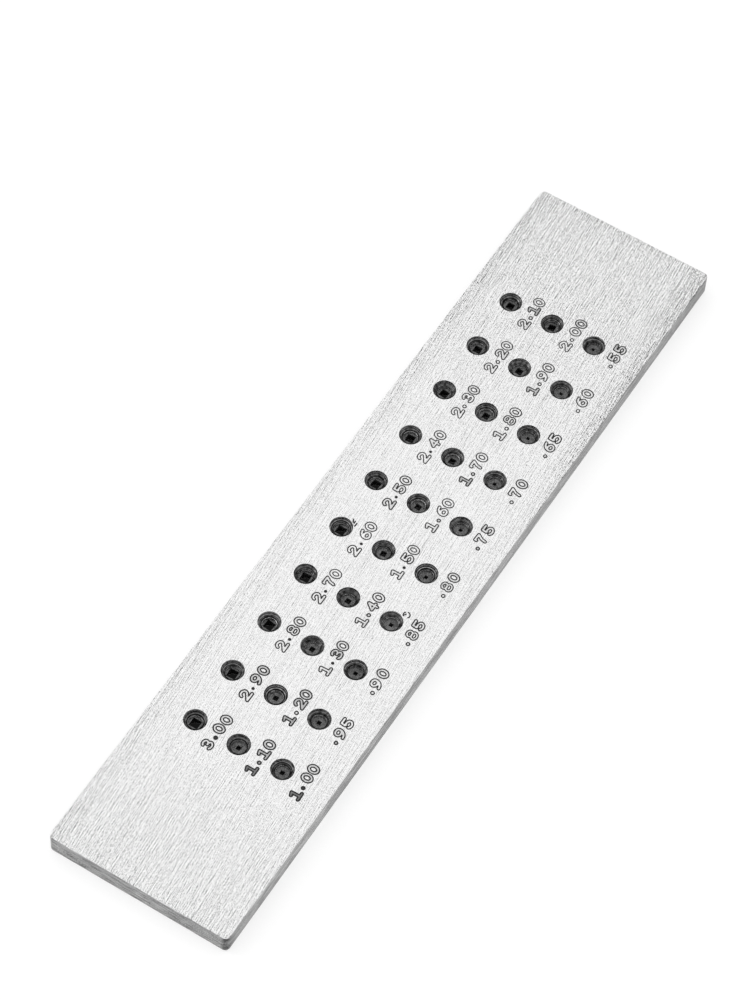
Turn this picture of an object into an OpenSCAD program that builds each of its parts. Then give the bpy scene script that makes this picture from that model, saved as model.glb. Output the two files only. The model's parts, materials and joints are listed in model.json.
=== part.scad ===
// Wire draw plate: a ground steel plate that holds thirty pressed-in carbide dies with square
// holes. Wire goes in at the back, is pulled through a die and leaves at the numbered front.
// Frame: the origin is the middle of the back face, +Z comes out of the front, +X runs along
// the plate from its wide blank end to its narrow one. All lengths are in millimetres.

/* [Plate] */
// Length of the plate
plate_length = 205; // [180:1:260]
// Width of the plate
plate_width = 45; // [38:0.5:60]
// Thickness of the plate
plate_thickness = 5.5; // [4.8:0.1:9]
// Radius of the four corners, seen from the front
corner_radius = 1.2; // [0.8:0.1:5]
// Width of the small bevel around the front and back edges
edge_bevel = 0.3; // [0.1:0.05:0.6]

/* [Rows of holes] */
// Distance between holes along a row
column_pitch = 14.7; // [10:0.1:17]
// Distance between the three rows
row_pitch = 11.1; // [9:0.1:13]
// How far the middle of the pattern lies from the plate's middle along its length
pattern_x = 4.1; // [-6:0.1:6]
// How far the middle row lies from the plate's middle across its width
pattern_y = 0.9; // [-2:0.1:2]

/* [Front recesses] */
// Diameter of the drilled recess over each die
recess_d = 5; // [4:0.1:6]
// Depth of the recess's straight wall
recess_depth = 0.6; // [0.3:0.05:1.2]
// Width of the bevel around the recess's mouth
recess_bevel = 0.15; // [0.05:0.05:0.3]
// Point angle of the drill that leaves the recess's sloping floor
drill_point_angle = 118; // [100:1:140]
// Thickness of the lip that holds the die back when wire is pulled
lip_thickness = 0.2; // [0.1:0.05:0.4]
// Room between the corners of the largest hole and the lip's edge
lip_clearance = 0.1; // [0.05:0.05:0.3]

/* [Dies] */
// Diameter of a die
die_d = 6; // [5.2:0.1:8]
// Room between a die and its seat, none for a press fit
seat_clearance = 0; // [0:0.01:0.05]
// How far a die lies below the plate's back face
die_setback = 0.2; // [0:0.05:0.5]
// Bevel on a die's front edge, which starts it straight into its seat
die_lead = 0.2; // [0.1:0.05:0.4]
// Bevel around the mouth of each seat
seat_bevel = 0.15; // [0.05:0.05:0.3]
// Diameter of the round mouth that the wire enters
mouth_d = 4.4; // [3.6:0.1:5]
// Depth of the mouth's straight wall
mouth_depth = 0.4; // [0.2:0.05:0.7]
// Length of the square bearing that sizes the wire
bearing_length = 0.9; // [0.4:0.1:1.4]
// Depth of the round relief where the wire leaves a die, as wide as the lip's hole
relief_depth = 0.25; // [0.1:0.05:0.5]
// Room between the square's corners and the cone that leads to it
corner_room = 0.05; // [0.03:0.01:0.1]
// Width of the flare that eases the square's edges where the wire leaves the bearing
exit_flare = 0.14; // [0.05:0.01:0.18]
// Depth of that flare
flare_depth = 0.35; // [0.2:0.05:0.4]
// Greatest turn of a die in its seat, as pressed in by hand
die_turn = 5; // [0:1:45]

/* [Hidden] */
$fn = 96;
columns = 10;
rows = 3;
overcut = 1;
sides = [-1, 1];

// The marked sizes in hundredths of a millimetre, row by row from the top row down. A mark is
// the distance from corner to corner of the square hole.
largest_mark = 300;
marks = concat(
    [for (k = [0 : columns - 1]) largest_mark - 10 * k],
    [for (k = [0 : columns - 1]) 110 + 10 * k],
    [for (k = [0 : columns - 1]) 100 - 5 * k]
);
function corner_r(mark) = mark / 200;
function square_side(mark) = corner_r(mark) * sqrt(2);
// The largest squares leave less room for a flare inside the round relief
function flare(mark) = min(exit_flare, lip_r / sqrt(2) - corner_room - square_side(mark) / 2);
function die_name(mark) =
    str("die_", floor(mark / 100), "_", floor(mark / 10) % 10, mark % 10);

// Where a die stands and how far it is turned, from its place in the list of marks
turn_step = 137.5;
function die_place(i) = [
    pattern_x + column_pitch * (i % columns - (columns - 1) / 2),
    pattern_y + row_pitch * ((rows - 1) / 2 - floor(i / columns)),
    0
];
function turned(i) = die_turn * sin(turn_step * i);

// Heights above the back face, from the front recess down to the die's mouth
lip_r = corner_r(largest_mark) + lip_clearance;
floor_top = plate_thickness - recess_depth;
floor_height = (recess_d / 2 - lip_r) / tan(drill_point_angle / 2);
lip_top = floor_top - floor_height;
seat_top = lip_top - lip_thickness;
relief_bottom = seat_top - relief_depth;
bearing_bottom = relief_bottom - bearing_length;
mouth_top = die_setback + mouth_depth;
seat_r = die_d / 2 + seat_clearance;

// Half of the plate's eased section, from its middle out to a side at the given reach
function eased_half(reach) = [
    [0, 0],
    [reach - edge_bevel, 0],
    [reach, edge_bevel],
    [reach, plate_thickness - edge_bevel],
    [reach - edge_bevel, plate_thickness],
    [0, plate_thickness]
];

// A bar along X with eased long sides
module eased_bar(length, width)
    rotate([90, 0, 90])
        linear_extrude(length, center = true)
            for (side = [0, 1])
                mirror([side, 0])
                    polygon(eased_half(width / 2));

// The blank: two crossed bars and a turned post in each corner
module plate_blank() {
    post_x = plate_length / 2 - corner_radius;
    post_y = plate_width / 2 - corner_radius;
    eased_bar(2 * post_x, plate_width);
    rotate([0, 0, 90])
        eased_bar(2 * post_y, plate_length);
    for (sx = sides, sy = sides)
        translate([sx * post_x, sy * post_y, 0])
            rotate_extrude()
                polygon(eased_half(corner_radius));
}

// What is drilled and bored out for one die: seat, lip, sloping floor and front recess
module die_station()
    rotate_extrude()
        polygon([
            [0, -overcut],
            [seat_r + seat_bevel + overcut, -overcut],
            [seat_r, seat_bevel],
            [seat_r, seat_top],
            [lip_r, seat_top],
            [lip_r, lip_top],
            [recess_d / 2, floor_top],
            [recess_d / 2, plate_thickness - recess_bevel],
            [recess_d / 2 + recess_bevel + overcut, plate_thickness + overcut],
            [0, plate_thickness + overcut]
        ]);

module steel_plate()
    color([0.82, 0.82, 0.81])
        difference() {
            plate_blank();
            for (i = [0 : len(marks) - 1])
                translate(die_place(i))
                    die_station();
        }

// The outside of a die, which rests on the underside of the lip
module die_blank()
    rotate_extrude()
        polygon([
            [0, die_setback],
            [die_d / 2, die_setback],
            [die_d / 2, seat_top - die_lead],
            [die_d / 2 - die_lead, seat_top],
            [0, seat_top]
        ]);

// The flare at a square's exit, where two crossed wedges meet. It is as wide as the hole one
// flare depth below the relief, and runs on past both ends to cut the hole and the relief cleanly.
module square_flare(mark) {
    rise = 2 * flare_depth + relief_depth / 2;
    half_low = square_side(mark) / 2 - flare(mark);
    half_high = half_low + flare(mark) * rise / flare_depth;
    translate([0, 0, relief_bottom - 2 * flare_depth])
        intersection_for (turn = [0, 90])
            rotate([90, 0, turn])
                linear_extrude(2 * lip_r, center = true)
                    polygon([[-half_low, 0], [half_low, 0], [half_high, rise], [-half_high, rise]]);
}

// The wire's way through a die: round mouth, cone, square bearing, flare and round relief
module wire_way(mark) {
    side = square_side(mark);
    rotate_extrude()
        polygon([
            [0, die_setback - overcut],
            [mouth_d / 2, die_setback - overcut],
            [mouth_d / 2, mouth_top],
            [corner_r(mark) + corner_room, bearing_bottom],
            [0, bearing_bottom]
        ]);
    translate([-side / 2, -side / 2, mouth_top])
        cube([side, side, seat_top - mouth_top]);
    if (flare(mark) > 0)
        square_flare(mark);
    translate([0, 0, relief_bottom])
        cylinder(r = lip_r, h = relief_depth + overcut);
}

module die(i)
    color([0.38, 0.38, 0.40])
        translate(die_place(i))
            difference() {
                die_blank();
                rotate([0, 0, turned(i)])
                    wire_way(marks[i]);
            }

steel_plate();
for (i = [0 : len(marks) - 1])
    die(i);
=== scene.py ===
import json

import bpy
import numpy as np
from mathutils import Matrix, Vector, geometry


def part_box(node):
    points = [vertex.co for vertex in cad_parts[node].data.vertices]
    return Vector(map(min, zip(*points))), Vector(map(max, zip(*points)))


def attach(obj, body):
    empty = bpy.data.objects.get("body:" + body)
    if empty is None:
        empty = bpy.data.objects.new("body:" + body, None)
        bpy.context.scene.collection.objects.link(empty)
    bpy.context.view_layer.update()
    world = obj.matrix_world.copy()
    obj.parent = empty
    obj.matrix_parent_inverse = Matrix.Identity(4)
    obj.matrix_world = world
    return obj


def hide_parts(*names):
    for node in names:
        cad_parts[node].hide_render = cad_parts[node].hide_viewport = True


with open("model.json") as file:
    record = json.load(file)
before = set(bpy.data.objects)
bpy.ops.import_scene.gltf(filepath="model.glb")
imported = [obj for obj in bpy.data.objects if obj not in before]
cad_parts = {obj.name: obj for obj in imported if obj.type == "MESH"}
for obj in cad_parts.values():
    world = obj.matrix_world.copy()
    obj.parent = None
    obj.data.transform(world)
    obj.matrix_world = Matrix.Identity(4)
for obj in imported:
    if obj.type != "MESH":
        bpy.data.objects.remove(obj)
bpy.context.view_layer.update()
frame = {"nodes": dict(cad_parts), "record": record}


# Plate blank: one bar of tool steel lying on its back, numbered face up. It is sawn to length and filed at
# its ends, its long sides are milled, its corners are rounded and its edges are just broken with a file.
# Sizes here and in the next sections are in millimetres, with heights from the back face.
MM = 0.001
half_length, half_width, thickness = np.array(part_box("steel_plate")[1]) / MM
corner_radius = 1.2
corner_steps = 12
edge_break = 0.3
edge_break_angles = (30, 60, 90)


def plate_outline(inset):
    """The plate's outline, anticlockwise: each corner is a quarter circle about a point that lies in from
    both sides by the corner radius, and the inset draws the whole line in by the same amount."""
    turn = np.linspace(0, np.pi / 2, corner_steps) + np.arange(4)[:, None] * np.pi / 2
    side_x = np.array([[1], [-1], [-1], [1]])
    side_y = np.array([[1], [1], [-1], [-1]])
    x = side_x * (half_length - corner_radius) + (corner_radius - inset) * np.cos(turn)
    y = side_y * (half_width - corner_radius) + (corner_radius - inset) * np.sin(turn)
    return np.stack([x, y], -1).reshape(-1, 2)


def at_height(points, height):
    """The same points in space, all at one height."""
    return np.concatenate([points, np.full(points.shape[:-1] + (1,), height)], -1)


def closed_pairs(rings):
    """Neighbours along closed rings of vertex numbers, the last joined to the first."""
    return np.stack([rings, np.roll(rings, -1, -1)], -1).reshape(-1, 2)


def ring_wall(upper, lower):
    """Quads between two closed anticlockwise rings of vertex numbers, each from two neighbours on one to
    the same two on the other, facing away from what the rings enclose."""
    return np.stack([upper, lower, np.roll(lower, -1, -1), np.roll(upper, -1, -1)], -1).reshape(-1, 4)


# The broken edge is a quarter round: the outline moves out by its sine while it drops by its cosine.
break_turn = np.radians(edge_break_angles)
break_inset = edge_break * (1 - np.sin(break_turn))
break_drop = edge_break * (1 - np.cos(break_turn))
upper_rings = [at_height(plate_outline(inset), thickness - drop)
               for inset, drop in zip(break_inset, break_drop)]
lower_rings = [at_height(plate_outline(inset), drop)
               for inset, drop in zip(break_inset[::-1], break_drop[::-1])]
side_rings = np.array(upper_rings + lower_rings)


# Drawing stations: thirty stepped holes in three rows, one for each die. A twist drill's point leaves the
# recess in the numbered face with a sloping floor and fine rings, a short throat lets the wire out, and
# behind it a flat-ended seat, bored from the back, takes the die.
throats = [mount for mount in frame["record"]["mounts"] if mount["kind"] == "bore"]
sizes = [mount["name"].removeprefix("wire_exit_").replace("_", ".") for mount in throats]
centres = np.array([mount["pos_m"][:2] for mount in throats]) / MM
throat_radius = throats[0]["dims"]["r_mm"]
throat_break = 0.06
recess_radius = 2.5
recess_depth = 0.6
recess_break = 0.15
drill_point_angle = 118
lip_thickness = 0.2
seat_radius = 3.0
seat_break = 0.15
turning_ridge = 0.010
wall_ridges = np.array([0, 0.6, 0, 0.6, 0])
floor_ridges = np.array([-1, 1, -1, 1, -1, 1, -1, 1, 0])
turn_steps = 48

floor_top = thickness - recess_depth
floor_slope = np.tan(np.radians(90 - drill_point_angle / 2))
wall_radius = recess_radius + turning_ridge * wall_ridges
wall_height = np.linspace(thickness - recess_break, floor_top, len(wall_ridges))
floor_radius = np.linspace(recess_radius, throat_radius + throat_break, len(floor_ridges) + 1)[1:]
floor_height = floor_top - (recess_radius - floor_radius) * floor_slope + turning_ridge * floor_ridges
lip_top = floor_top - (recess_radius - throat_radius) * floor_slope
seat_top = lip_top - lip_thickness
station_profile = np.concatenate([
    [[recess_radius + recess_break, thickness]],
    np.stack([wall_radius, wall_height], -1),
    np.stack([floor_radius, floor_height], -1),
    [[throat_radius, lip_top - throat_break], [throat_radius, seat_top]],
    [[seat_radius, seat_top], [seat_radius, seat_break], [seat_radius + seat_break, 0]],
])


def turned_rings(profile, middles, steps):
    """A profile of radius and height turned about an upright axis through each middle: every profile point
    becomes a ring of equal steps. The result runs over middles, then profile points, then steps."""
    turn = 2 * np.pi * np.arange(steps) / steps
    radius = profile[None, :, :1]
    x = middles[:, :1, None] + radius * np.cos(turn)
    y = middles[:, 1:, None] + radius * np.sin(turn)
    return np.stack(np.broadcast_arrays(x, y, profile[None, :, 1:]), -1)


station_rings = turned_rings(station_profile, centres, turn_steps)
profile_steps = np.linalg.norm(np.diff(station_profile, axis=0), axis=1)
profile_run = np.concatenate([[0], np.cumsum(profile_steps)])


# Size marks: each hole's size in millimetres, cut below it by a small pointed cutter that runs once round
# the outline of every figure, so a figure is a thin dark line about a bright stroke. Sizes under one
# millimetre have no leading nought. Two slips of the tool are left beside the holes 2.60 and 0.85.
figure_stretch = (1.0, 1.08)
half_widths = dict.fromkeys("012345679", 0.33) | {"8": 0.28, ".": 0.40}
groove_width = 0.38
groove_depth = 0.09
grid_step = 0.11
grid_corner_room = 0.08
ridge_shares = (0.3, 0.9)
bow_points = 25
mark_drop = 5.56
long_mark = (-3.65, -1.36, 1.03, 3.62)
short_mark = (-2.95, -0.48, 2.40)


def bow(middle_x, middle_y, reach_x, reach_y, start, stop):
    """Points along an ellipse from one angle to another, in degrees."""
    turn = np.radians(np.linspace(start, stop, bow_points))
    return np.stack([middle_x + reach_x * np.cos(turn), middle_y + reach_y * np.sin(turn)], -1)


six = [bow(0.05, -0.38, 0.78, 0.60, 0, 360), bow(0.75, -0.25, 1.48, 1.22, 90, 180)]
figures = {
    "0": [bow(0, 0, 0.80, 0.97, 0, 360)],
    "1": [np.array([(-0.70, 0.70), (0.05, 0.95), (0.05, -0.97)]),
          np.array([(-0.85, -0.97), (0.85, -0.97)])],
    "2": [np.concatenate([bow(0, 0.38, 0.78, 0.60, 170, -38), [(-0.90, -0.97), (1.00, -0.97)]])],
    "3": [bow(0, 0.47, 0.72, 0.50, 150, -90), bow(0, -0.47, 0.82, 0.50, 90, -150)],
    "4": [np.array([(0.30, 0.97), (-0.85, -0.35), (0.85, -0.35)]),
          np.array([(0.35, 0.97), (0.35, -0.97)])],
    "5": [np.concatenate([[(0.72, 0.97), (-0.60, 0.97), (-0.68, 0.12)],
                          bow(-0.02, -0.42, 0.85, 0.58, 130, -150)])],
    "6": six,
    "7": [np.array([(-0.80, 0.70), (-0.80, 0.97), (0.80, 0.97), (0.15, -0.05), (0, -0.97)])],
    "8": [bow(0, 0.51, 0.72, 0.53, 0, 360), bow(0, -0.47, 0.84, 0.57, 0, 360)],
    "9": [-stroke for stroke in six],
    ".": [np.array([(0, -0.51), (0, -0.51)])],
}
figures = {figure: [stroke * figure_stretch for stroke in strokes] for figure, strokes in figures.items()}


def stroke_distance(places, strokes, half_width):
    """How far each place lies from the nearest stroke's centre line, less the stroke's half width: zero on
    the figure's outline and less than zero inside it. A dot is a run of no length, so the squared length is
    kept above nought."""
    start = np.concatenate([stroke[:-1] for stroke in strokes])
    run = np.concatenate([np.diff(stroke, axis=0) for stroke in strokes])
    squared_length = np.maximum((run ** 2).sum(-1), 1e-9)
    reach = places[..., None, :] - start
    share = np.clip((reach * run).sum(-1) / squared_length, 0, 1)
    return np.linalg.norm(reach - share[..., None] * run, axis=-1).min(-1) - half_width


def level_line(field, level):
    """The line on which a gridded field has one level, as points in grid steps and pairs of point numbers.
    It cuts a grid side at the place that a straight run between the side's two ends gives, kept a little
    off the corners, and it joins the two cuts in each grid square, or the four cuts as two pairs."""
    points = []
    numbers = []
    for low, high, step in ((field[:, :-1], field[:, 1:], (1, 0)), (field[:-1], field[1:], (0, 1))):
        cut = (low > level) != (high > level)
        row, column = np.nonzero(cut)
        share = (level - low[cut]) / (high[cut] - low[cut])
        share = np.clip(share, grid_corner_room, 1 - grid_corner_room)
        number = np.full(cut.shape, -1)
        number[cut] = np.arange(len(row)) + sum(map(len, points))
        points.append(np.stack([column, row], -1) + share[:, None] * step)
        numbers.append(number)
    level_sides, upright_sides = numbers
    sides = np.stack([level_sides[:-1], upright_sides[:, 1:], level_sides[1:], upright_sides[:, :-1]], -1)
    sides = sides.reshape(-1, 4)
    cuts = (sides >= 0).sum(-1)
    double = sides[cuts == 4]
    pairs = np.concatenate([np.sort(sides[cuts == 2], -1)[:, 2:], double[:, :2], double[:, 2:]])
    return np.concatenate(points), pairs


def engraved_line(strokes, half_width, width=groove_width):
    """One groove round the outline of some strokes: its inner side, its bottom and its outer side are the
    lines at which the distance is minus half the groove's width, nought and half the width. Where two runs
    of the groove meet in a narrow gap, ridge points between them get their own share of that distance."""
    corners = np.concatenate(strokes)
    low = corners.min(0) - half_width - width
    high = corners.max(0) + half_width + width
    columns, rows = np.ceil((high - low) / grid_step).astype(int) + 1
    places = low + grid_step * np.stack(np.meshgrid(np.arange(columns), np.arange(rows)), -1)
    field = stroke_distance(places, strokes, half_width)
    lines = [level_line(field, level * width / 2) for level in (-1, 0, 1)]
    counts = [len(points) for points, _ in lines]
    offsets = np.concatenate([[0], np.cumsum(counts)[:-1]])
    inner = field[1:-1, 1:-1]
    crest = (inner >= np.maximum(field[1:-1, :-2], field[1:-1, 2:])) | (
        inner >= np.maximum(field[:-2, 1:-1], field[2:, 1:-1]))
    least, most = np.array(ridge_shares) * width / 2
    row, column = np.nonzero(crest & (inner > least) & (inner < most))
    ridge = np.stack([column, row], -1) + 1
    points = low + grid_step * np.concatenate([points for points, _ in lines] + [ridge])
    pairs = np.concatenate([pairs + offset for (_, pairs), offset in zip(lines, offsets)])
    levels = np.concatenate([np.repeat([-1, 0, 1], counts), inner[row, column] / (width / 2)])
    return points, pairs, levels


figure_lines = {figure: engraved_line(strokes, half_widths[figure]) for figure, strokes in figures.items()}

# Some dots are small prods of the cutter with no bright middle.
small_dot = engraved_line(figures["."], half_width=0.22, width=0.45)
small_dots = ("2.90", "2.80", "2.70", "2.60", "2.50", "2.40", "1.30", "1.50")

# Some figures were cut over more than once, which left their whole stroke dull. These are the tones of such
# strokes, by size and by the figure's place in it.
dulled = {
    "3.00": {1: 0.3},
    "2.90": {1: 0.2, 2: 0.16},
    "2.80": {1: 0.25},
    "2.10": {1: 0.15, 2: 0.26},
    "1.10": {0: 0.24, 1: 0.2, 2: 0.17},
    "1.20": {0: 0.2, 1: 0.1, 2: 0.18, 3: 0.16},
    "1.70": {0: 0.26, 1: 0.2},
    "1.90": {0: 0.24},
    "1.00": {0: 0.24, 1: 0.3},
    "0.95": {0: 0.2},
    "0.75": {0: 0.25},
    "0.55": {1: 0.15, 2: 0.17},
}

mark_points = []
mark_pairs = []
mark_heights = []
mark_tones = []


def cut_into_face(groove, middle, turn, depth, tone, dull):
    """Adds one groove to the face: its line turned and set at its middle, its bottom points lowered, the
    bottom given its tone, and the stroke that it encloses given the dull tone."""
    points, pairs, levels = groove
    swing = np.array([[np.cos(turn), np.sin(turn)], [-np.sin(turn), np.cos(turn)]])
    mark_pairs.append(pairs + sum(map(len, mark_points)))
    mark_points.append(points @ swing + middle)
    mark_heights.append(thickness - depth * (1 - np.abs(levels)))
    mark_tones.append(np.interp(levels, [-1, 0, 1], [dull, tone, 0.0]))


# The marks were cut by hand, from the wide end on, with less and less pressure.
random = np.random.default_rng(205)
pressure_places = (-62, -33, 0, 70)
pressures = (1.4, 1.1, 0.93, 0.9)
hand_shift = 0.04
hand_turn = 0.02
depth_range = (0.8, 1.15)
tone_range = (0.7, 1.0)
dot_dull_range = (0.0, 0.22)
stroke_dull_range = (0.06, 0.17)
for size, centre in zip(sizes, centres):
    mark = size.removeprefix("0")
    offsets = long_mark if len(mark) == len(long_mark) else short_mark
    pressure = np.interp(centre[0], pressure_places, pressures)
    for order, (figure, offset) in enumerate(zip(mark, offsets)):
        middle = centre + (offset, -mark_drop) + random.normal(0, hand_shift, 2)
        depth = groove_depth * random.uniform(*depth_range)
        tone = random.uniform(*tone_range) * pressure
        dull = random.uniform(*(dot_dull_range if figure == "." else stroke_dull_range))
        dull = dulled.get(size, {}).get(order, dull) * pressure
        groove = small_dot if figure == "." and size in small_dots else figure_lines[figure]
        cut_into_face(groove, middle, random.normal(0, hand_turn), depth, tone, dull)

slips = {
    "2.60": [np.array([(2.50, -1.57), (3.14, -1.26)]), np.array([(2.34, -1.90), (2.96, -1.88)]),
             np.array([(1.76, -2.41), (2.66, -2.44)])],
    "0.85": [bow(3.20, -1.95, 0.72, 0.75, 50, 140), bow(3.20, -1.95, 0.75, 0.78, -130, 0),
             np.array([(3.02, -1.58), (3.36, -1.78)])],
}
slip_depth = 0.05
slip_tone = 0.85
for size, strokes in slips.items():
    groove = engraved_line(strokes, half_width=0.07, width=0.26)
    cut_into_face(groove, centres[sizes.index(size)], 0.0, slip_depth, slip_tone, slip_tone)


# Steel plate: the blank, its stations and its marks as one closed skin. The numbered face is ground on a
# belt along its length, the back likewise, and the sides keep the lengthwise lines of the milling cutter.
merge_distance = 1e-7
sharp_angle = 10


def flat_face(outline, holes, lines, pairs):
    """Triangles of a flat face between its outline, its round holes and any lines drawn on it, by a
    constrained Delaunay triangulation. The triangles whose three corners lie on one hole are left out.
    Vertices keep the order outline, holes, lines."""
    points = np.concatenate([outline, holes.reshape(-1, 2), lines])
    first_line = len(points) - len(lines)
    outline_ring = np.arange(len(outline))
    hole_rings = len(outline) + np.arange(holes.shape[0] * holes.shape[1]).reshape(holes.shape[:2])
    pairs = np.concatenate([closed_pairs(outline_ring), closed_pairs(hole_rings), pairs + first_line])
    made, _, faces, _, _, _ = geometry.delaunay_2d_cdt(
        points.tolist(), pairs.tolist(), [], 0, merge_distance)
    faces = np.array(faces)
    hole = np.full(len(made), -1)
    hole[hole_rings] = np.arange(len(holes))[:, None]
    corners = hole[faces]
    in_hole = (corners[:, 0] >= 0) & (corners == corners[:, :1]).all(-1)
    return np.array([point[:] for point in made]), faces[~in_hole], outline_ring, hole_rings


rims = station_rings[:, 0, :, :2]
seats = station_rings[:, -1, :, :2]
front, front_faces, front_edge, front_rims = flat_face(
    plate_outline(edge_break), rims, np.concatenate(mark_points), np.concatenate(mark_pairs))
back, back_faces, back_edge, back_rims = flat_face(
    plate_outline(edge_break), seats, np.zeros((0, 2)), np.zeros((0, 2), int))
plain = len(front_edge) + front_rims.size
marked = plain + sum(map(len, mark_points))
front_height = np.full(len(front), thickness)
front_height[plain:marked] = np.concatenate(mark_heights)

bore_rings = station_rings[:, 1:-1]
blocks = [np.concatenate([front, front_height[:, None]], -1), at_height(back, 0.0),
          side_rings.reshape(-1, 3), bore_rings.reshape(-1, 3)]
starts = np.concatenate([[0], np.cumsum([len(block) for block in blocks])])
side_numbers = starts[2] + np.arange(side_rings.size // 3).reshape(side_rings.shape[:2])
bore_numbers = starts[3] + np.arange(bore_rings.size // 3).reshape(bore_rings.shape[:3])
side_numbers = np.concatenate([[front_edge], side_numbers, [starts[1] + back_edge]])
bore_numbers = np.concatenate([front_rims[:, None], bore_numbers, starts[1] + back_rims[:, None]], 1)
flat_faces = np.concatenate([front_faces, starts[1] + back_faces[:, ::-1]])
side_faces = ring_wall(side_numbers[:-1], side_numbers[1:])
bore_faces = ring_wall(bore_numbers[:, :-1], bore_numbers[:, 1:])[:, ::-1]

plate_mesh = bpy.data.meshes.new("draw_plate")
plate_mesh.from_pydata(
    np.concatenate(blocks) * MM, [], flat_faces.tolist() + side_faces.tolist() + bore_faces.tolist())
ground, milled, bored = range(3)
side_finish = [ground, ground, milled, milled, milled, milled, ground]
finish_numbers = np.concatenate([np.repeat(ground, len(flat_faces)), np.repeat(side_finish, len(front_edge)),
                                 np.repeat(bored, len(bore_faces))])
plate_mesh.polygons.foreach_set("material_index", finish_numbers.astype(np.int32))
plate_mesh.polygons.foreach_set("use_smooth", np.ones(len(plate_mesh.polygons), bool))
plate_mesh.set_sharp_from_angle(angle=np.radians(sharp_angle))

# Two values go with the mesh: how dark the engraving is, and the run down a station's profile, which starts
# anew for each station, a whole station's run further on.
station_run = 20.0
engraving_values = np.zeros(starts[-1], np.float32)
engraving_values[plain:marked] = np.concatenate(mark_tones)
turning_values = np.zeros(starts[-1], np.float32)
turning_values[bore_numbers] = profile_run[:, None] + station_run * np.arange(len(centres))[:, None, None]
for name, values in (("engraving", engraving_values), ("turning", turning_values)):
    plate_mesh.attributes.new(name, "FLOAT", "POINT").data.foreach_set("value", values)


class Signal:
    """A value in a material's node tree. Arithmetic on it adds Math nodes to the tree."""

    def __init__(self, tree, socket=None):
        self.tree = tree
        self.socket = socket

    def node(self, kind, output=0, settings=None, sockets=None):
        """Adds a node of any kind: its settings are set first, then each socket gets its value or link."""
        made = self.tree.nodes.new(kind)
        for name, value in (settings or {}).items():
            setattr(made, name, value)
        for name, value in (sockets or {}).items():
            if isinstance(value, Signal):
                self.tree.links.new(value.socket, made.inputs[name])
            else:
                made.inputs[name].default_value = value
        return Signal(self.tree, made.outputs[output] if made.outputs else None)

    def math(self, operation, first, second):
        """Adds a Math node on two values or numbers."""
        return self.node("ShaderNodeMath", settings={"operation": operation}, sockets={0: first, 1: second})

    def __add__(self, other):
        return self.math("ADD", self, other)

    def __radd__(self, other):
        return self.math("ADD", other, self)

    def __sub__(self, other):
        return self.math("SUBTRACT", self, other)

    def __rsub__(self, other):
        return self.math("SUBTRACT", other, self)

    def __mul__(self, other):
        return self.math("MULTIPLY", self, other)

    def __rmul__(self, other):
        return self.math("MULTIPLY", other, self)


def new_finish(name):
    """An empty material, the start of its node tree and the place on the piece."""
    material = bpy.data.materials.new(name)
    material.use_nodes = True
    material.node_tree.nodes.clear()
    nodes = Signal(material.node_tree)
    return material, nodes, nodes.node("ShaderNodeTexCoord", output="Object")


def axes(nodes, place, names):
    """The named coordinates of a place, each as a value of its own."""
    return [nodes.node("ShaderNodeSeparateXYZ", output=name, sockets={0: place}) for name in names]


def rim_distance(nodes, place):
    """How far in from the plate's rim a place lies: the lesser of half the length less the distance from
    the middle along the plate, and half the width less the distance from the middle across it."""
    off_x, off_y = (nodes.math("ABSOLUTE", value, 0.0) for value in axes(nodes, place, "XY"))
    return nodes.math("MINIMUM", half_length * MM - off_x, half_width * MM - off_y)


def streaks(nodes, place, size, turn=0, detail=2.0, shift=(0, 0, 0)):
    """Noise drawn out into streaks of the given size in millimetres, turned about the upright axis by some
    degrees and shifted by some millimetres."""
    mapped = nodes.node("ShaderNodeMapping", settings={"vector_type": "TEXTURE"}, sockets={
        "Vector": place, "Location": tuple(length * MM for length in shift),
        "Rotation": (0, 0, np.radians(turn)), "Scale": tuple(length * MM for length in size)})
    return nodes.node("ShaderNodeTexNoise", sockets={
        "Vector": mapped, "Scale": 1.0, "Detail": detail, "Roughness": 0.55})


def furrows(nodes, place, size, turn, shift):
    """Streaks less the same streaks shifted across, so that each line has a bright and a dark flank."""
    return streaks(nodes, place, size, turn, 0.0) - streaks(nodes, place, size, turn, 0.0, shift)


def threshold(nodes, value, low, high):
    """A smooth step from nought at the low value to one at the high value."""
    return nodes.node("ShaderNodeMapRange", settings={"interpolation_type": "SMOOTHSTEP"},
                      sockets={"Value": value, "From Min": low, "From Max": high})


def band(nodes, value, rise, fall):
    """One between two values and nought outside them: a smooth step up, then a smooth step down."""
    return threshold(nodes, value, *rise) * (1 - threshold(nodes, value, *fall))


def finish_metal(nodes, tone, roughness, relief, strength, height):
    """Closes a material as bare metal: its grey tone, its roughness and a bump of some millimetres."""
    bump = nodes.node("ShaderNodeBump", sockets={
        "Height": relief, "Strength": strength, "Distance": height * MM})
    metal = nodes.node("ShaderNodeBsdfPrincipled", sockets={
        "Base Color": tone, "Metallic": 1.0, "Roughness": roughness, "Normal": bump})
    nodes.node("ShaderNodeOutputMaterial", sockets={"Surface": metal})


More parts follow.
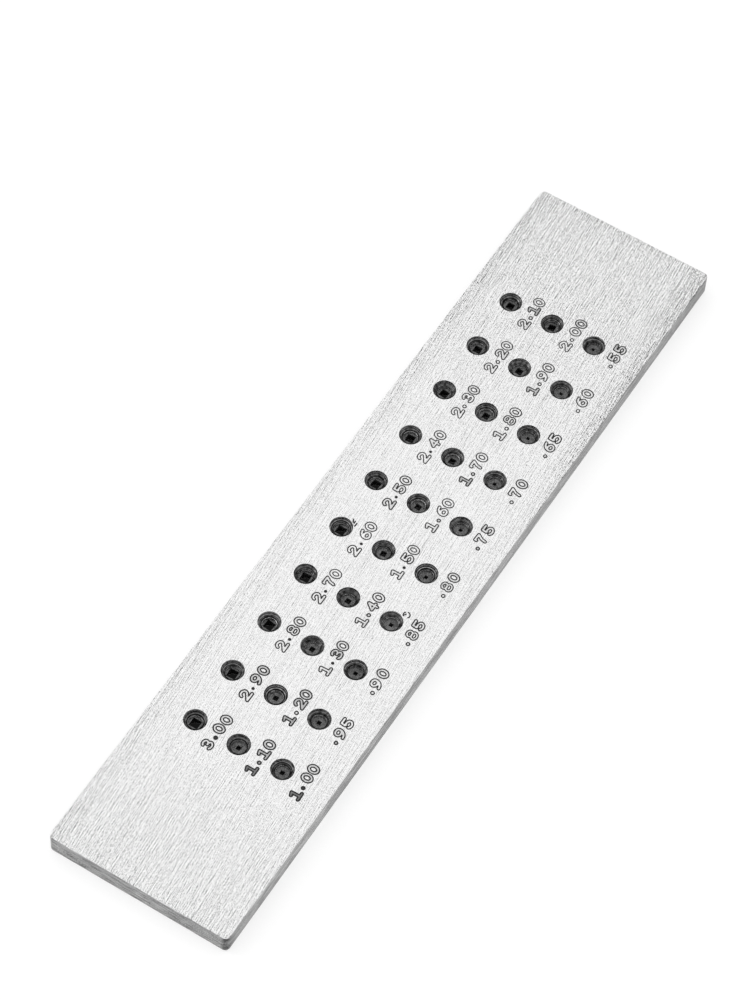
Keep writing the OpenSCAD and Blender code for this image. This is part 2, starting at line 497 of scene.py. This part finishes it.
# The ground faces have fine, slightly crossed belt lines and grit, coarser towards the ends and along the
# rims, with a few long scratches and pits. Their tone is also darkened towards the ends and rims, and most
# on the far half of the -Y side and at its far corner, as painted shade of the light falling off there. The
# engraving is nearly black.
ground_face, nodes, place = new_finish("ground_face")
along, across = axes(nodes, place, "XY")
# These masks set where the grain is coarser and where the tone gets painted shade of the light falling off.
far_end = threshold(nodes, along, 10 * MM, 125 * MM)
near_end = threshold(nodes, along, -55 * MM, -105 * MM)
margin = threshold(nodes, across, 16.5 * MM, 21.5 * MM)
rim = 1 - threshold(nodes, rim_distance(nodes, place), 0.3 * MM, 2.6 * MM)
lower_far = threshold(nodes, across, -17 * MM, -22.2 * MM) * threshold(nodes, along, -10 * MM, 60 * MM)
far_corner = threshold(nodes, along, 82 * MM, 100 * MM) * threshold(nodes, across, -17 * MM, -22 * MM)
coarseness_and_shade = far_end + near_end * 0.45 + margin * 0.30 + lower_far * 0.9 + (rim + far_corner) * far_end
fine_lines = furrows(nodes, place, (4.0, 0.13, 10), 3, (0, 0.18, 0))
crossed_lines = furrows(nodes, place, (2.2, 0.13, 10), 6, (0, 0.18, 0))
grit = streaks(nodes, place, (0.12, 0.12, 10), detail=0.0) - 0.5
patches = streaks(nodes, place, (45, 18, 30), 5, 3.0)
scratch_field = streaks(nodes, place, (20, 0.30, 10), 2, 0.0)
scratches = threshold(nodes, scratch_field + margin * 0.06, 0.68, 0.76)
pits_per_metre = 70.0
pit_distance = nodes.node("ShaderNodeTexVoronoi", output="Distance", sockets={
    "Vector": place, "Scale": pits_per_metre})
pits = 1 - threshold(nodes, pit_distance, 0.006, 0.018)
line_strength = nodes.math("MINIMUM", coarseness_and_shade, 1.6) * 0.34 + 0.27
grain = (fine_lines * 1.9 + crossed_lines * 1.6 + grit * 5.3) * line_strength
engraving = nodes.node("ShaderNodeAttribute", output="Fac", settings={"attribute_name": "engraving"})
engraved = threshold(nodes, engraving, 0.05, 0.46)
# The darkening by coarseness_and_shade and near_end is painted shade; the patches are random tone.
bright_tone = 0.902 - coarseness_and_shade * 0.046 - near_end * 0.02 + grain + (patches - 0.5) * 0.05
bright_tone = nodes.math("MINIMUM", bright_tone, 1.0)
ground_tone = bright_tone * (1 - scratches * 0.12) * (1 - pits * 0.6) * (1 - engraved) + engraved * 0.05
ground_roughness = 0.42 + fine_lines * 0.1 + engraved * 0.2
finish_metal(nodes, ground_tone, ground_roughness, grain, 0.15, 0.01)

# The long sides keep long cutter lines and short chatter marks. Their tone is darkened along the narrow
# end's half as painted shade of the light falling off towards that end, and next to the floor as painted
# shade. The ends are filed instead, and one corner of the wide end gets painted shade, streaked like the
# filing, in place of its dark reflection.
milled_side, nodes, place = new_finish("milled_side")
along, across, height = axes(nodes, place, "XYZ")
cutter_lines = streaks(nodes, place, (16, 16, 0.7), detail=1.0)
fine_lines = furrows(nodes, place, (4.0, 4.0, 0.30), 0, (0, 0, 0.35))
speckle = streaks(nodes, place, (0.25, 0.25, 0.25), detail=0.0) - 0.5
filing = streaks(nodes, place, (2.2, 2.2, 0.40), detail=0.0) - 0.5
chatter = streaks(nodes, place, (3.0, 3.0, 1.2), detail=1.0) - 0.5
sawn_end = threshold(nodes, along * along, ((half_length - 0.8) * MM) ** 2, ((half_length - 0.1) * MM) ** 2)
# Painted shade of the light falling off towards the narrow end.
far_half = threshold(nodes, along, -20 * MM, 100 * MM)
# Painted shade next to the floor.
lower_shade = 1 - threshold(nodes, height, 0.2 * MM, 1.2 * MM)
# Painted shade on one rounded corner of the wide end, in place of its dark reflection, streaked like the
# filing.
painted_corner_shade = threshold(nodes, along, -(half_length - 4.0) * MM, -(half_length - 0.9) * MM) * (
    threshold(nodes, across, -(half_width - 2.0) * MM, -(half_width - 0.5) * MM))
lines = (cutter_lines - 0.5) * 1.3 * (1 - sawn_end) + filing * (sawn_end * 0.6 + 0.3)
lines = lines + fine_lines * 0.9 + speckle * 1.8
milled_tone = 0.325 - sawn_end * 0.02 - far_half * 0.065 + lines * 0.5 + chatter * (1 - sawn_end) * 0.30
milled_tone = milled_tone * (1 - lower_shade * 0.15)
milled_tone = milled_tone * (1 - painted_corner_shade * (0.4 + speckle * 3.2 + filing * 1.8))
finish_metal(nodes, milled_tone, 0.38 + lines * 0.15, lines, 0.2, 0.03)

# The bored walls are painted dark, as shade of the recess, and have turned rings. The upright walls of
# recess and throat are painted brighter for the light they catch, the rim's bevel gets painted shade, and
# the inner ring of the sloping floor gets a painted shadow next to the throat.
bored_wall, nodes, place = new_finish("bored_wall")
run = nodes.node("ShaderNodeAttribute", output="Fac", settings={"attribute_name": "turning"})
rings_per_mm = 4.0
rings = nodes.node("ShaderNodeTexNoise", settings={"noise_dimensions": "1D"}, sockets={
    "W": run * rings_per_mm, "Scale": 1.0, "Detail": 1.0})
smears = streaks(nodes, place, (0.8, 0.8, 0.8))
depth_run = nodes.math("FLOORED_MODULO", run, station_run)
# The rim's bevel is painted darker, as shade.
rim_bevel = 1 - threshold(nodes, depth_run, 0.16, 0.24)
# The upright walls are painted brighter for the light they catch, and are rougher.
straight_wall = band(nodes, depth_run, (0.18, 0.26), (0.60, 0.70))
throat_wall = band(nodes, depth_run, (1.62, 1.70), (1.95, 2.05))
# Painted shadow on the inner ring of the sloping floor, next to the throat.
inner_ring_shadow = band(nodes, depth_run, (1.10, 1.35), (1.58, 1.66))
# The low base tone is painted shade of the recess; rings and smears are turned marks and random tone.
bored_tone = 0.086 + (rings - 0.5) * (smears * 1.3 + 0.2) + (smears - 0.5) * 0.42
bored_tone = nodes.math("MAXIMUM", bored_tone, 0.012) * (1 + straight_wall * 3.4 + throat_wall * 2.6)
bored_tone = bored_tone * (1 - rim_bevel * 0.4) * (1 - inner_ring_shadow * (1.1 - smears * 0.9))
bored_roughness = 0.27 + (straight_wall + throat_wall) * 0.3 + (smears - 0.5) * 0.15
finish_metal(nodes, bored_tone, bored_roughness, rings, 0.7, 0.08)

for material in (ground_face, milled_side, bored_wall):
    plate_mesh.materials.append(material)
plate = bpy.data.objects.new("draw_plate", plate_mesh)
bpy.context.scene.collection.objects.link(plate)
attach(plate, "root")
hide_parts("steel_plate")


# Dies: thirty round nibs of sintered tungsten carbide pressed into the seats from the back, each with a
# flared mouth, a square hole in its size and a round relief. Their solids stay as they are and get a
# finely ground, dark grey finish.
ground_carbide, nodes, place = new_finish("ground_carbide")
pores = streaks(nodes, place, (0.24, 0.24, 0.24), detail=1.0)
polish = streaks(nodes, place, (1.2, 1.2, 1.2), detail=3.0)
height = axes(nodes, place, "Z")[0]
# The carbide is painted darker deep in the bearing, as shade.
bearing = band(nodes, height, (2.6 * MM, 3.0 * MM), (3.75 * MM, 3.9 * MM))
# The die's top at its relief is painted brighter, standing in for the light it catches.
relief_wall = threshold(nodes, height, 3.92 * MM, 3.96 * MM)
carbide_tone = 0.135 + (polish - 0.5) * 0.28 + (pores - 0.5) * 0.40
carbide_tone = carbide_tone * (1 - bearing * 0.2) * (1 + relief_wall * 2.0)
carbide_roughness = 0.48 + relief_wall * 0.2 + (polish - 0.5) * 0.2
finish_metal(nodes, carbide_tone, carbide_roughness, pores, 0.15, 0.01)
for name, node in frame["nodes"].items():
    if name.startswith("die_"):
        for material_slot in node.material_slots:
            material_slot.material = ground_carbide


# Studio: a pale floor that shows white to the camera and in the metal and keeps the plate's soft shadow. It
# is painted dark under the plate, a painted shade in place of the plate's shadow there, and is clear from
# below and to the plate's back. Over it stand one soft box and a bright tent of light that falls off towards
# the horizon and has an opening for the camera. In metres.
floor_reach = 3.0
floor_drop = 0.0001
floor_mesh = bpy.data.meshes.new("floor")
floor_corners = np.array([(-1, -1), (1, -1), (1, 1), (-1, 1)]) * floor_reach
floor_mesh.from_pydata(at_height(floor_corners, -floor_drop), [], [(0, 1, 2, 3)])
pale_floor, nodes, place = new_finish("pale_floor")
seen = nodes.node("ShaderNodeLightPath", output="Is Camera Ray") + nodes.node(
    "ShaderNodeLightPath", output="Is Glossy Ray")
# Nought under the plate, where the floor's colour and glow are painted dark as shade.
clear_of_plate = threshold(nodes, rim_distance(nodes, place), 2 * MM, 0.0)
matt = nodes.node("ShaderNodeBsdfDiffuse", sockets={"Color": clear_of_plate * 0.43 + 0.02})
glow = nodes.node("ShaderNodeEmission", sockets={"Color": seen * (clear_of_plate * 0.642 + 0.008)})
lit_floor = nodes.node("ShaderNodeAddShader", sockets={0: matt, 1: glow})
below = nodes.node("ShaderNodeNewGeometry", output="Backfacing")
ray_length = nodes.node("ShaderNodeLightPath", output="Ray Length")
from_plate_back = nodes.math("LESS_THAN", ray_length, 4 * floor_drop)
floor_surface = nodes.node("ShaderNodeMixShader", sockets={
    0: nodes.math("MAXIMUM", below, from_plate_back),
    1: lit_floor,
    2: nodes.node("ShaderNodeBsdfTransparent")})
nodes.node("ShaderNodeOutputMaterial", sockets={"Surface": floor_surface})
floor_mesh.materials.append(pale_floor)
floor = bpy.data.objects.new("floor", floor_mesh)
bpy.context.scene.collection.objects.link(floor)

world = bpy.data.worlds.new("light_tent")
world.use_nodes = True
world.node_tree.nodes.clear()
nodes = Signal(world.node_tree)
direction = nodes.node("ShaderNodeTexCoord", output="Generated")
rise = axes(nodes, direction, "Z")[0]
camera_side = (-0.48, -0.26, 0.84)
facing_camera = nodes.node("ShaderNodeVectorMath", output="Value", settings={"operation": "DOT_PRODUCT"},
                           sockets={0: direction, 1: camera_side})
opening = threshold(nodes, facing_camera, 0.80, 0.97)
tent = (1.04 + threshold(nodes, rise, 0.0, 0.8) * 0.22) * (1 - opening * 0.45)
seen = nodes.node("ShaderNodeLightPath", output="Is Camera Ray")
sky = nodes.node("ShaderNodeBackground", sockets={"Strength": tent * (1 - seen) + seen * 1.25})
nodes.node("ShaderNodeOutputWorld", sockets={"Surface": sky})
bpy.context.scene.world = world

soft_box = bpy.data.lights.new("soft_box", "AREA")
soft_box.shape = "RECTANGLE"
soft_box.size = 0.3
soft_box.size_y = 0.3
soft_box.energy = 1.5
soft_box_place = Vector((-0.28, 0.91, 0.73))
soft_box_turn = soft_box_place.to_track_quat("Z", "Y").to_matrix()
soft_box_object = bpy.data.objects.new("soft_box", soft_box)
soft_box_object.matrix_world = Matrix.Translation(soft_box_place) @ soft_box_turn.to_4x4()
bpy.context.scene.collection.objects.link(soft_box_object)


# Camera: the photograph's viewpoint, worked out from the plate's corners and holes, in the same frame.
# Its place is in metres, and three directions of unit length say how it is turned.
camera_place = (-0.4157, -0.2187, 0.7453)
right = (0.5282, -0.8482, 0.0401)
down = (-0.7011, -0.4622, -0.5430)
ahead = (0.4791, 0.2587, -0.8388)
camera = bpy.data.cameras.new("camera")
camera.sensor_width = 36.0
camera.lens = 142.55
camera_turn = Matrix((right, -Vector(down), -Vector(ahead))).transposed()
camera_object = bpy.data.objects.new("camera", camera)
camera_object.matrix_world = Matrix.Translation(camera_place) @ camera_turn.to_4x4()
bpy.context.scene.collection.objects.link(camera_object)
bpy.context.scene.camera = camera_object
bpy.context.scene.view_settings.view_transform = "Standard"
